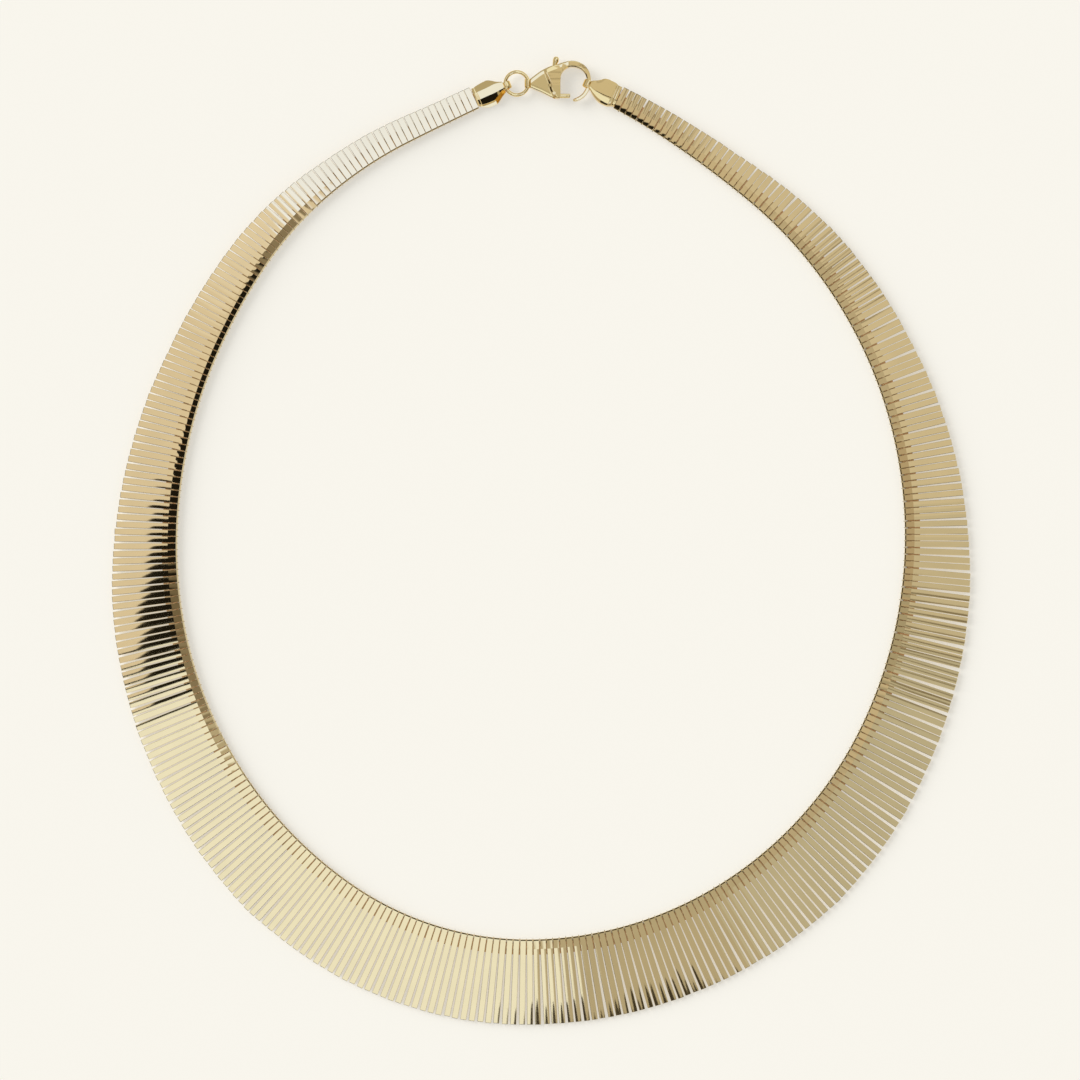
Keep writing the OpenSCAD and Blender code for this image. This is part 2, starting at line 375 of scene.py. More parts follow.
def cut(shape, cutters):
    """Takes cutters away from a shape."""

    def temporary(points, faces):
        mesh = bpy.data.meshes.new("cut")
        mesh.from_pydata(np.asarray(points).tolist(), [], faces)
        thing = bpy.data.objects.new("cut", mesh)
        bpy.context.scene.collection.objects.link(thing)
        return thing

    body = temporary(*shape)
    tools = [temporary(*cutter) for cutter in cutters]
    for tool in tools:
        boolean = body.modifiers.new("cut", "BOOLEAN")
        boolean.object = tool
        boolean.operation = "DIFFERENCE"
        boolean.solver = "EXACT"
    shaped = body.evaluated_get(bpy.context.evaluated_depsgraph_get()).to_mesh()
    points = np.array([v.co[:] for v in shaped.vertices])
    faces = [tuple(p.vertices) for p in shaped.polygons]
    for thing in (body, *tools):
        mesh = thing.data
        bpy.data.objects.remove(thing)
        bpy.data.meshes.remove(mesh)
    return points, faces


class Spot:
    """A place on the necklace: x runs along its heading, y to the left of it and z up from its height."""

    def __init__(self, point, heading, height=0.0, mirrored=False):
        self.point = np.asarray(point)
        self.heading = heading
        self.height = height
        self.mirrored = mirrored

    def place(self, shape):
        x, y, z = np.asarray(shape[0]).T[:, :, None]
        flat = self.point + x * ahead(self.heading) - y * outward(self.heading)
        points = np.concatenate([flat, z + self.height], 1)
        faces = shape[1]
        if self.mirrored:
            points[:, 0] *= -1
            faces = [tuple(reversed(face)) for face in faces]
        return points, faces


# Gold

# Shares of the colour where the gold is darkest and where it is lightest
DARKEST = 0.94
LIGHTEST = 1.05
# Noise scales, in waves a metre, of the soft clouds and of the fine marks
CLOUD_SCALE = 240.0
MARK_SCALE = 2600.0
# Strength of the bump, its depth in metres, how far the clouds outweigh the marks in it, and what the
# marks add to the roughness
GRAIN = 0.008
GRAIN_DEPTH = 0.00002
CLOUD_SHARE = 2.0
MARK_ROUGHNESS = 0.02
# Roughness of the core and the loops, and share of the bars' colour that the right side's loops have: that
# darker colour is painted shade
SATIN = 0.3
LOOP_SHADE_SHARE = 0.42


def gold(name, colour, roughness):
    """Polished gold with a faint change of tone, a soft wave in the polish and hairline marks."""
    material = bpy.data.materials.new(name)
    graph = Graph(material)
    place = graph.node("ShaderNodeTexCoord", output="Object")
    cloud = graph.node("ShaderNodeTexNoise", None, {"Vector": place, "Scale": CLOUD_SCALE, "Detail": 3.0})
    marks = graph.node("ShaderNodeTexNoise", None, {"Vector": place, "Scale": MARK_SCALE, "Detail": 2.0})
    tone = graph.mix(cloud, rgba([c * DARKEST for c in colour]),
                     rgba([min(1.0, c * LIGHTEST) for c in colour]))
    bump = graph.node("ShaderNodeBump", None, {"Strength": GRAIN, "Distance": GRAIN_DEPTH,
                                               "Height": marks + cloud * CLOUD_SHARE})
    surface = graph.node("ShaderNodeBsdfPrincipled", None,
                         {"Base Color": tone, "Roughness": roughness + marks * MARK_ROUGHNESS,
                          "Normal": bump, "Metallic": 1.0})
    graph.node("ShaderNodeOutputMaterial", None, {"Surface": surface})
    return material


# Bars


def walk(arcs, point, heading, pitch):
    """The place of each bar along the inner edge: its point and heading."""
    places = []
    for arc in arcs:
        for i in range(arc.bars):
            turned = heading + pitch / arc.radius * (i + 0.5)
            places.append((point + arc.radius * (outward(turned) - outward(heading)), turned))
        end = heading + pitch / arc.radius * arc.bars
        point = point + arc.radius * (outward(end) - outward(heading))
        heading = end
    return places, (point, heading)


def ahead(heading):
    return np.array([math.cos(heading), math.sin(heading)])


def outward(heading):
    return np.array([math.sin(heading), -math.cos(heading)])


# The fold's section. Ways and widths are in mm, out from the inner edge or from the wall.
FOOT_WAY = 0.28
FOOT_CORNER = 0.3
FACET_WIDTH = 0.24
CREASE_AT = 1.88
TIP_ROUND = 0.06
# How far the edges between wall, facet and bend are broken
WALL_BREAK = 0.03
FACET_BREAK = 0.04
# Slopes in degrees: of the facet, and of the bend where it begins and where it meets the crease
FACET_SLOPE = 47
BEND_START = 33
BEND_END = 15.5
# Ways out of the sheet in degrees, from +X: at the foot's corner, the foot, the wall, the crease and the tip
CORNER_OUT = 225
FOOT_OUT = 186
WALL_OUT = 173
CREASE_OUT = 96
TIP_OUT = 60
# A bar's face bows down along its length. Shares of its fall: at the crease, gained up to the tip, and how
# much less each stretch slopes than its far end
FALL_AT_CREASE = 0.65
FALL_GAINED = 0.6
FALL_SPARED = 0.05


def side_profile(bars, length):
    """The sheet's outer side as (x, z, way out of the sheet), from the lip's end round to the tip."""
    foot = bars.inset + FOOT_WAY
    facet_x = bars.inset + FACET_WIDTH
    facet, bend_start, bend_end = (math.radians(slope) for slope in (FACET_SLOPE, BEND_START, BEND_END))
    bend_r = (CREASE_AT - facet_x) / (math.sin(bend_start) - math.sin(bend_end))
    low = bars.height - bend_r * (math.cos(bend_end) - math.cos(bend_start))
    wall_top = low - FACET_WIDTH * math.tan(facet)
    in_corner = FOOT_CORNER * 0.3
    stations = [(bars.lip, 0.0, -90), (foot + FOOT_CORNER, 0.0, -90),
                (foot + in_corner, in_corner, CORNER_OUT), (foot, FOOT_CORNER, FOOT_OUT),
                (bars.inset, wall_top - WALL_BREAK, WALL_OUT),
                (bars.inset + FACET_BREAK, wall_top + FACET_BREAK, 90 + FACET_SLOPE),
                (facet_x - WALL_BREAK, low - WALL_BREAK * math.tan(facet), 90 + FACET_SLOPE)]
    for share in (0.0, 0.25, 0.5, 0.75):
        lean = bend_start + (bend_end - bend_start) * share
        stations.append((facet_x + bend_r * (math.sin(bend_start) - math.sin(lean)),
                         low + bend_r * (math.cos(lean) - math.cos(bend_start)), 90 + math.degrees(lean)))
    stations.append((CREASE_AT, bars.height, CREASE_OUT))
    reach = length - TIP_ROUND - CREASE_AT
    x, z = CREASE_AT, bars.height
    for share in (0.15, 0.35, 0.6, 0.8, 1.0):
        lean = bars.fall * (FALL_AT_CREASE + FALL_GAINED * share)
        new_x = CREASE_AT + reach * share
        z -= (new_x - x) * math.tan(lean - bars.fall * FALL_SPARED)
        x = new_x
        stations.append((x, z, 90 - math.degrees(lean)))
    stations.append((length, z - 0.05, TIP_OUT))
    return stations


def bar_rings(bars, length, width):
    """Rings of points round the sheet's section, one at each station: x outwards, y across, z up."""
    half = width / 2
    flat = half - bars.bevel_w
    under = 0.05
    radius = flat / math.sin(bars.crown)
    across = [flat * k / 2 for k in (-2, -1, 0, 1, 2)]
    section = [(y, math.sqrt(radius ** 2 - y ** 2) - radius) for y in across]
    section += [(half, -bars.bevel_h), (half, under - bars.sheet), (half - under, -bars.sheet),
                (under - half, -bars.sheet), (-half, under - bars.sheet), (-half, -bars.bevel_h)]
    rings = []
    for x, z, way in side_profile(bars, length):
        out = np.array([math.cos(math.radians(way)), math.sin(math.radians(way))])
        rings.append([(x + d * out[0], y, z + d * out[1]) for y, d in section])
    return np.array(rings)


def place_beside(points, point, heading, mirrored):
    """Moves points, with x outwards from the inner edge and y along it, to a place on that edge."""
    x, y, z = points.T
    out, on = outward(heading), ahead(heading)
    world = np.stack([point[0] + x * out[0] + y * on[0], point[1] + x * out[1] + y * on[1], z], 1)
    if mirrored:
        world[:, 0] *= -1
    return world


def gathered(count, chance):
    """Places of bars from the middle of the group of up to three bars that each stands in."""
    places = []
    while len(places) < count:
        size = chance.integers(1, 4)
        places += [(size - 1) / 2 - k for k in range(size)]
    return places[:count]


# The bars' groups close up by this share on the left side and at the front, and by more and more on the
# right side, from this bar on and over this many bars.
LEAST_GATHER = 0.35
GATHER_FROM = 30
GATHER_OVER = 25
# The left side's bars gain their extra width over these bars from the front.
WIDEN_FROM = 90
WIDEN_OVER = 40
# A bar's roll sets in from this far out, in mm, over this way, and its tilt turns about this line. Both
# leave what lies below the lip's top alone.
ROLL_FROM = 1.6
ROLL_OVER = 2.0
ROLL_AXIS = 1.9
LIP_TOP = 0.3
# Typical error of a bar's length in mm, and its tilt as a share of its roll
LENGTH_ERROR = 0.03
TILT_SHARE = 0.6


def build_bars(name, arcs, start, heading, mirrored, replaced, material):
    bars = settings().bars
    chance = np.random.default_rng(bars.seed + mirrored)
    places, _ = walk(arcs, start, heading, bars.pitch)
    before = 0.5 + (LENGTHS_FROM if mirrored else -LENGTHS_FROM)
    groups = gathered(len(places), chance)
    points, faces = [], []
    for i, (point, way) in enumerate(places):
        length = np.interp(abs(before + i), *zip(*BAR_LENGTHS)) + chance.normal(0, LENGTH_ERROR)
        share = LEAST_GATHER if mirrored else ramp(i, GATHER_FROM, GATHER_OVER, LEAST_GATHER)
        closing = groups[i] * share
        roll = chance.normal(0, bars.roll)
        tilt = chance.normal(0, bars.roll * TILT_SHARE)
        extra = bars.extra * ramp(i, WIDEN_FROM, WIDEN_OVER) * mirrored
        rings = bar_rings(bars, length, bars.width + extra)
        sides = rings.shape[1]
        local = rings.reshape(-1, 3)
        above = ramp(local[:, 0], ROLL_FROM, ROLL_OVER) * (local[:, 2] > LIP_TOP)
        local[:, 2] += above * (local[:, 1] * math.tan(roll) + (local[:, 0] - ROLL_AXIS) * math.tan(tilt))
        local[:, 1] += closing * (bars.gather + local[:, 0] * bars.gather_turn)
        faces += tube_faces(len(rings), sides, start=i * len(local))
        points.append(place_beside(local, point, way, mirrored))
    if not mirrored:
        faces = [tuple(reversed(face)) for face in faces]
    return add_piece(name, (np.concatenate(points), faces), material, CHAIN, replaced,
                     sharp_over=12)


# Typical error of a loop's place across the inner edge, and the depth below the crease that the heights of
# its upper part are taken from, in mm
LOOP_ERROR = 0.025
LOOP_DROP = 0.12


def loop_path(bars):
    """A wire loop in a slot, round the core's inner side from its bottom to its top, as (x, 0, z)."""
    r = bars.loop / 2
    top = bars.height - LOOP_DROP
    rows = [(0.9, 0.5), (0.4, 0.4), (r + 0.1, 0.62), (r + 0.02, 0.9), (r, top - 0.62),
            (r + 0.14, top - 0.4), (r + 0.36, top - 0.25), (0.75, top - 0.3), (0.9, 1.2)]
    return [(x, 0.0, z) for x, z in rows]


def build_loops(name, arcs, start, heading, mirrored, material):
    bars = settings().bars
    chance = np.random.default_rng(bars.seed + 10 + mirrored)
    places, _ = walk(arcs, start, heading, bars.pitch)
    loops = []
    for point, way in places:
        path = np.array(loop_path(bars)) + (chance.normal(0, LOOP_ERROR), -bars.pitch / 2, 0)
        points, faces = sweep(path, (bars.loop, bars.loop), sides=6, across=(0, 1, 0))
        loops.append((place_beside(points, point, way, mirrored), faces))
    points, faces = join(loops)
    if mirrored:
        faces = [tuple(reversed(face)) for face in faces]
    return add_piece(name, (points, faces), material, CHAIN)


class NECKLACE_OT_bars(bpy.types.Operator):
    """Fold the bars of both sides over the core"""

    bl_idname = "necklace.bars"
    bl_label = "Bars"

    def execute(self, context):
        look = settings().gold
        material = gold("bar_gold", look.bars, look.polish)
        build_bars("bars_of_right_side", RIGHT_ARCS, FRONT, FRONT_SLOPE, False, ("bars_right",), material)
        build_bars("bars_of_left_side", LEFT_ARCS, FRONT * (-1, 1), -FRONT_SLOPE, True, ("bars_left",),
                   material)
        return {"FINISHED"}


class NECKLACE_OT_loops(bpy.types.Operator):
    """Put the wire loops into the slots between the bars"""

    bl_idname = "necklace.loops"
    bl_label = "Loops"

    def execute(self, context):
        look = settings().gold
        # The right side's loops get a darker copy of the bars' gold: painted shade, for the dark line along
        # that side's inner edge.
        deep_shade_gold = gold("loop_gold_in_deep_painted_shade", [c * LOOP_SHADE_SHARE for c in look.bars], SATIN)
        # The left side's loops are gold darkened as painted shade.
        clear = gold("loop_gold_in_painted_shade", look.loops, SATIN)
        build_loops("loops_of_right_side", RIGHT_ARCS, FRONT, FRONT_SLOPE, False, deep_shade_gold)
        build_loops("loops_of_left_side", LEFT_ARCS, FRONT * (-1, 1), -FRONT_SLOPE, True, clear)
        return {"FINISHED"}


# Caps, ring and clasp

# Columns: distance from the mouth, then how far the lines along the cap lie from its middle, from the outer
# to the inner edge, then the height of its top. The first and the last line are its edges.
LEFT_CAP = [(-0.42, -1.72, -0.72, 0.62, 1.42, 2.31),
            (0.0, -1.76, -0.74, 0.66, 1.50, 2.36),
            (0.14, -1.76, -0.74, 0.68, 1.54, 2.33),
            (0.35, -1.84, -0.76, 0.70, 1.62, 2.345),
            (1.1, -1.98, -0.78, 0.68, 1.74, 2.36),
            (2.0, -2.08, -0.80, 0.66, 1.78, 2.37),
            (2.9, -2.05, -0.86, 0.66, 1.72, 2.37),
            (3.6, -1.66, -0.92, 0.62, 1.36, 2.37),
            (4.25, -1.20, -0.88, 0.54, 0.96, 2.37),
            (4.8, -0.92, -0.78, 0.50, 0.72, 2.37),
            (5.3, -0.74, -0.66, 0.50, 0.62, 2.36)]
RIGHT_CAP = [(-0.27, -2.05, -1.2, 0.55, 0.64, 1.30, 1.60, 2.30),
             (0.33, -2.10, -1.2, 0.50, 0.59, 1.45, 1.75, 2.27),
             (0.42, -2.10, -1.2, 0.45, 0.54, 1.45, 1.80, 2.23),
             (0.9, -2.28, -1.2, 0.45, 0.54, 1.70, 2.0, 2.25),
             (1.9, -2.38, -1.2, 0.50, 0.60, 1.72, 2.08, 2.29),
             (2.9, -2.36, -1.2, 0.48, 0.58, 1.55, 1.92, 2.33),
             (3.4, -2.18, -1.15, 0.46, 0.56, 1.38, 1.72, 2.35),
             (3.9, -1.75, -1.0, 0.42, 0.52, 1.15, 1.45, 2.37),
             (4.5, -1.36, -0.8, 0.30, 0.40, 0.85, 1.05, 2.39),
             (5.0, -1.1, -0.7, 0.12, 0.20, 0.50, 0.65, 2.41),
             (5.3, -0.95, -0.6, 0.05, 0.12, 0.38, 0.48, 2.42)]
# Slopes in degrees at the start and the end of each facet between two lines, rising towards the inner side
Facet = namedtuple("Facet", "first last")
LEFT_FACETS = [Facet(19, 9), Facet(5, 1), Facet(-37, -38)]
RIGHT_FACETS = [Facet(5.5, 3.5), Facet(2.5, 1), Facet(-38, -38), Facet(-5, -12), Facet(-38, -39)]
# Middle and width of each cap's strap across the cap
Strap = namedtuple("Strap", "middle width")
LEFT_STRAP = Strap(0.12, 1.35)
RIGHT_STRAP = Strap(-0.2, 1.4)
# How deep a cap is hollow at its mouth, the height about which the hollow narrows, and to what share
HOLLOW_DEPTH = 0.9
HOLLOW_Z = 0.16
HOLLOW_SHARE = 0.84
# The sides' foot rises towards the eye: from where, and by how much
FOOT_FROM = 2.9
FOOT_RISE = 0.35
# Outline of the left cap's bottom sheet as (x, way to the inner side)
BOTTOM_SHEET = [(2.0, -1.5), (3.0, 1.5), (3.25, 2.2), (2.9, 2.45), (2.0, 2.5), (1.3, 2.42), (0.8, 2.22),
                (0.2, 1.88), (-0.2, 1.55), (-0.2, -1.5)]
BOTTOM_T = 0.35
# The turned-up edge of that sheet beside the strap, with columns x, its inner and its outer line
TURNED_EDGE = [(3.0, 1.66, 2.55), (3.3, 1.5, 2.4), (3.8, 1.2, 2.08), (4.4, 0.88, 1.66), (5.0, 0.66, 1.32),
               (5.32, 0.58, 1.16)]
# Its foot, the tops of its inner and its outer line, the outer bevel, and the slope of its hollow in degrees
EDGE_FOOT = 0.05
EDGE_TOP = 1.15
EDGE_BRIM = 1.0
EDGE_BEVEL = (0.07, 0.05)
EDGE_SLOPE = 60
# Thickness of the straps, the clasp's eye and the lever's band
BAND_T = 0.27


def cap_shell(rows, facets):
    """A cap's shell: each ring climbs the outer side, follows the facets over the top and comes down."""
    end = rows[-1][0]
    at = np.concatenate([np.linspace(rows[0][0], HOLLOW_DEPTH, 16),
                         np.linspace(HOLLOW_DEPTH + 0.1, end, 30)])
    steps = 6
    foot, swell, shoulder = 0.1, 0.02, 0.06
    rings = []
    for x, (*lines, crown) in zip(at, smooth_curve(rows, at)):
        over = [(lines[0], 0.0)]
        for facet, near, far in zip(facets, lines, lines[1:]):
            for k in range(steps):
                v, z = over[-1]
                slope = math.radians(facet.first + (facet.last - facet.first) * (k + 0.5) / steps)
                over.append((v + (far - near) / steps, z + (far - near) / steps * math.tan(slope)))
        lift = crown - max(z for _, z in over)
        over = [(v, z + lift) for v, z in over]
        (v0, z0), (v1, z1) = over[0], over[-1]
        low = FOOT_RISE * max(0.0, (x - FOOT_FROM) / (end - FOOT_FROM))
        walls = [(v0 + foot, low), (v0 - swell, low + foot), (v0 - swell, z0 - shoulder)]
        back = [(v1 + swell, z1 - shoulder), (v1 + swell, low + foot), (v1 - foot, low)]
        rings.append([(x, v, z) for v, z in walls + over + back])
    middle = (0, (rows[0][1] + rows[0][-2]) / 2, HOLLOW_Z)
    narrowed = (np.array(rings[0]) - middle) * (1, HOLLOW_SHARE, HOLLOW_SHARE) + middle
    rings = np.array([narrowed + (HOLLOW_DEPTH, 0, 0), narrowed, *rings])
    return rings.reshape(-1, 3), tube_faces(len(rings), rings.shape[1])


def turned_edge():
    bevel_w, bevel_h = EDGE_BEVEL
    rings = []
    for x, near, far in TURNED_EDGE:
        deep = (far - near) / 2 * math.tan(math.radians(EDGE_SLOPE))
        rings.append([(x, near, EDGE_FOOT), (x, near, EDGE_TOP), (x, (near + far) / 2, EDGE_TOP - deep),
                      (x, far - bevel_w, EDGE_BRIM + bevel_h), (x, far, EDGE_BRIM), (x, far, EDGE_FOOT)])
    return np.array(rings).reshape(-1, 3), tube_faces(len(rings), 6)


def bottom_sheet():
    points, faces = slab(BOTTOM_SHEET, BOTTOM_T)
    return points + (0, 0, BOTTOM_T / 2), faces


def cap_shape(rows, facets, strap):
    clasp = settings().clasp
    return join([cap_shell(rows, facets),
                 eye(clasp.cap_reach, strap.middle, MIDDLE_Z, clasp.cap_eye, strap.width)])


def eye(x, y, z, radius, width):
    """An upright band round an axis along y."""
    path = [(x + u, y, z + v) for u, v in circle(radius - BAND_T / 2)]
    return sweep(path, (width, BAND_T), sides=16, power=3.5, across=(0, 1, 0), closed=True)


# The clasp is one casting: a strip from its neck over its body and round the hook.
# Columns: x and y of the outer edge, x and y of the inner edge, share of the hook's section
CAST_BODY = [(-7.25, 0.36, -7.25, -1.25, 0), (-6.5, 0.95, -6.4, -1.6, 0), (-5.6, 1.62, -5.4, -2.02, 0),
             (-4.6, 2.2, -4.3, -2.56, 0), (-3.7, 2.6, -3.35, -3.02, 0), (-3.0, 2.82, -2.6, -3.2, 0),
             (-2.5, 2.95, -1.9, -3.12, 0), (-2.0, 3.11, -1.79, -2.2, 0), (-1.7, 3.22, -1.83, -1.1, 0),
             (-1.4, 3.32, -1.84, -0.1, 0), (-1.1, 3.4, -1.72, 0.85, 0.1), (-0.8, 3.48, -1.4, 1.6, 0.4),
             (-0.55, 3.55, -0.9, 2.15, 0.75)]
# Columns: angle round the hook, inner radius, outer radius, half thickness, lean of the top outwards
CAST_HOOK = [(96, 2.5, 3.62, 0.87, 1), (80, 2.62, 3.70, 0.82, 2), (65, 2.74, 3.78, 0.77, 2.5),
             (50, 2.88, 3.84, 0.70, 3), (30, 3.0, 3.86, 0.62, 3), (10, 3.06, 3.82, 0.54, 3),
             (-10, 3.08, 3.80, 0.47, 1), (-25, 3.14, 3.84, 0.45, -3), (-45, 3.22, 3.90, 0.44, -4),
             (-62, 3.26, 3.90, 0.43, -4), (-74, 3.30, 3.86, 0.40, -4), (-80, 3.40, 3.76, 0.30, -4),
             (-81.5, 3.5, 3.66, 0.16, 0)]
# Half thickness of the body at its neck, and how it changes along x and y
NECK_HIGH = 1.1
NECK_X = -7.25
BODY_RISE = (-0.061, 0.068)
# The rim beside the opening: its height, the way across its flank, where that begins, its width, and how
# far, about which y and over which half length the flank bulges. Then the y where the rim has faded out, and
# how far below that it begins to
RIM_HIGH = 0.36
RIM_WAY = (0.919, 0.392)
RIM_AT = -3.95
RIM_FLANK = 0.62
RIM_BULGE = 0.25
BULGE_Y = -1.8
BULGE_HALF = 1.2
RIM_END = 2.6
RIM_FADE = 3.4
# Places of the points across the casting near its edges, in from the edge
EDGE_PLACES = [0, 0.05, 0.12, 0.28, 0.5, 0.72, 0.9, 1.0]
# Columns: way in from the outer edge, drop of the top there
OUTER_DROP = [(0, 0.17), (0.12, 0.12), (0.5, 0.056), (0.9, 0)]
# Columns: way in from the inner edge, drop of the top there, further drop along the body's lower side
INNER_DROP = [(0, 0.1, 0.067), (0.1, 0, 0.067), (0.25, 0, 0.032), (0.45, 0, 0)]
# The further drop sets in to the left of this x, over this way.
LOWER_X = -2.9
LOWER_OVER = 0.6
# The hook's inner bevel: its width, its slope in degrees, and what its top has more and its bottom less
HOOK_BEVEL = 0.18
BEVEL_SLOPE = 42.5
BEVEL_TURN = 3.75


def body_height(x, y):
    """Half thickness of the body: it falls to the lower right, then steps up to the rim by the opening."""
    plane = NECK_HIGH + BODY_RISE[0] * (x - NECK_X) + BODY_RISE[1] * y
    bulge = RIM_BULGE * np.clip(1 - ((y - BULGE_Y) / BULGE_HALF) ** 2, 0, 1)
    beyond = ramp(RIM_WAY[0] * x + RIM_WAY[1] * y + bulge, RIM_AT, RIM_FLANK)
    below = ramp(-y, -RIM_END, RIM_FADE)
    return plane + RIM_HIGH * eased(below) * eased(beyond)


def casting():
    """The clasp's body and hook, from curves through the two tables, bevelled along both edges."""
    rows = [(*row, *CAST_HOOK[0][3:]) for row in CAST_BODY]
    for angle, inner, outer, high, lean in CAST_HOOK:
        way = ahead(math.radians(angle))
        rows.append((*(outer * way), *(inner * way), 1, high, lean))
    rows = np.array(rows)
    steps = np.hypot(*np.diff(rows[:, 0:2], axis=0).T) + np.hypot(*np.diff(rows[:, 2:4], axis=0).T)
    place = np.concatenate([[0], np.cumsum(steps)])
    inner_way, inner_drop, lower_drop = np.array(INNER_DROP).T
    curve = smooth_curve(np.column_stack([place, rows]), np.linspace(0, place[-1], 260))
    top = []
    for xo, yo, xi, yi, hook, high, lean in curve:
        width = math.hypot(xi - xo, yi - yo)
        edge = np.array(EDGE_PLACES) * min(1.0, width / 2)
        d = np.concatenate([edge[:-1], np.linspace(edge[-1], width - edge[-1], 40), width - edge[-2::-1]])
        x, y = xo + (xi - xo) * d / width, yo + (yi - yo) * d / width
        body = body_height(x, y) - np.interp(d, *zip(*OUTER_DROP))
        body -= np.interp(width - d, inner_way, inner_drop + ramp(-xi, -LOWER_X, LOWER_OVER) * lower_drop)
        bevel = min(HOOK_BEVEL, width / 4)
        chamfer = math.tan(math.radians(BEVEL_SLOPE - BEVEL_TURN * (yi - yo) / width)) * bevel
        round_hook = high + math.tan(math.radians(lean)) * (d - width / 2)
        round_hook -= np.interp(d, [0, 0.05], [0.04, 0])
        round_hook -= np.interp(width - d, [0, bevel], [chamfer, 0])
        top.append(np.stack([x, y, (1 - hook) * body + hook * round_hook], 1))
    return pillow(np.array(top))


# Slots for the lever's arm and gate: angles about the pin in degrees, half width and reach. Then their
# height and how far they reach behind the pin
Slot = namedtuple("Slot", "start end half reach")
LEVER_SLOTS = [Slot(90, 116, 0.55, 8.5), Slot(-6, 26, 0.52, 2.0)]
SLOT_HIGH = 1.1
SLOT_HEEL = 0.75


def fan(start, end, half, reach):
    """Outline of what an arm sweeps through between two angles about the pin, in degrees."""
    a, b = math.radians(start), math.radians(end)
    right = np.array([math.sin(a), -math.cos(a)]) * half
    left = np.array([-math.sin(b), math.cos(b)]) * half
    tip = [reach * ahead(t) for t in np.linspace(a, b, 6)]
    return [right - SLOT_HEEL * ahead(a), right + tip[0], *tip[1:-1], left + tip[-1],
            left - SLOT_HEEL * ahead(b)]


# The lever's arm with its thumb tab, from the pin, with columns x, y, width and thickness
LEVER_ARM = [(0, 0.5, 0.72, 0.84), (0, 2.5, 0.72, 0.84), (0, 4.6, 0.72, 0.84), (0.03, 5.25, 0.74, 0.86),
             (0.12, 5.6, 0.84, 0.94), (0.24, 5.95, 1.06, 1.04), (0.33, 6.3, 1.12, 1.08),
             (0.39, 6.6, 0.98, 0.96), (0.42, 6.78, 0.66, 0.66), (0.43, 6.84, 0.36, 0.36)]
# The lever's gate, from the pin, with columns x, width and thickness
LEVER_GATE = [(0.45, 0.8, 0.84), (1.0, 0.8, 0.84), (2.2, 0.8, 0.84), (2.75, 0.8, 0.84),
              (2.9, 0.68, 0.72), (2.96, 0.4, 0.45)]
# Radius of the middle of the band round the pin, and the lever's thickness there
LEVER_BAND_R = 0.465
LEVER_T = 0.84


def lever_shape(clasp):
    """The lever about its pin: an arm up to the thumb tab, a gate to +x and a band round the pin."""
    arm = sweep([(x, y, 0) for x, y, _, _ in LEVER_ARM], [row[2:] for row in LEVER_ARM], power=2.6)
    gate = sweep([(x, clasp.gate_y, 0) for x, _, _ in LEVER_GATE], [row[1:] for row in LEVER_GATE],
                 power=3.0)
    band = sweep([(x, y, 0) for x, y in circle(LEVER_BAND_R)], (BAND_T, LEVER_T), sides=16, power=4.0,
                 closed=True)
    return join([arm, gate, band])


# The core's section: its sides, out from the inner edge, and its faces. Then the length and the share of the
# width of the tongue that reaches into each cap.
CORE_SIDES = (0.8, 3.0)
CORE_FACES = (0.48, 1.24)
TONGUE_REACH = 1.7
TONGUE_SHARE = 0.9


def core_shape(right_end, left_end):
    """The flat core, from a tongue in one cap along the inside of the fold to the other cap."""
    bars = settings().bars
    (inner, outer), (low, high) = CORE_SIDES, CORE_FACES
    route = []
    for arcs, start, slope, flip, end in ((LEFT_ARCS, FRONT * (-1, 1), -FRONT_SLOPE, -1, left_end),
                                          (RIGHT_ARCS, FRONT, FRONT_SLOPE, 1, right_end)):
        tongue = (end[0] + TONGUE_REACH * ahead(end[1]), end[1])
        side = [*walk(arcs, start, slope, bars.pitch)[0], end, tongue]
        steps = [((point[0] * flip, point[1]), outward(way) * (flip, 1)) for point, way in side]
        route += steps[::-1] if flip < 0 else steps
    rings = []
    for point, out in route:
        far = outer if len(rings) not in (0, len(route) - 1) else outer * TONGUE_SHARE
        rings.append([(point[0] + x * out[0], point[1] + x * out[1], z)
                      for x, z in ((inner, low), (inner, high), (far, high), (far, low))])
    return np.array(rings).reshape(-1, 3), tube_faces(len(rings), 4)


# Gap from the last bar to each cap's mouth in mm, and the cap's turn from the run's heading in degrees
Mouth = namedtuple("Mouth", "gap kink")
RIGHT_MOUTH = Mouth(0.3, 4.5)
LEFT_MOUTH = Mouth(0.45, 2.5)
# The ring hangs at this angle from the line between the caps' eyes, and this much nearer than its radius.
RING_TURN = 9
RING_SLACK = 0.08

Anchors = namedtuple("Anchors", "right_end left_end right_cap left_cap ring hook eye")


def cap_mouth(end, mouth, mirrored):
    point, heading = end
    width = BAR_LENGTHS[-1][1]
    return Spot(point + width / 2 * outward(heading) + mouth.gap * ahead(heading),
                heading + math.radians(mouth.kink), mirrored=mirrored)


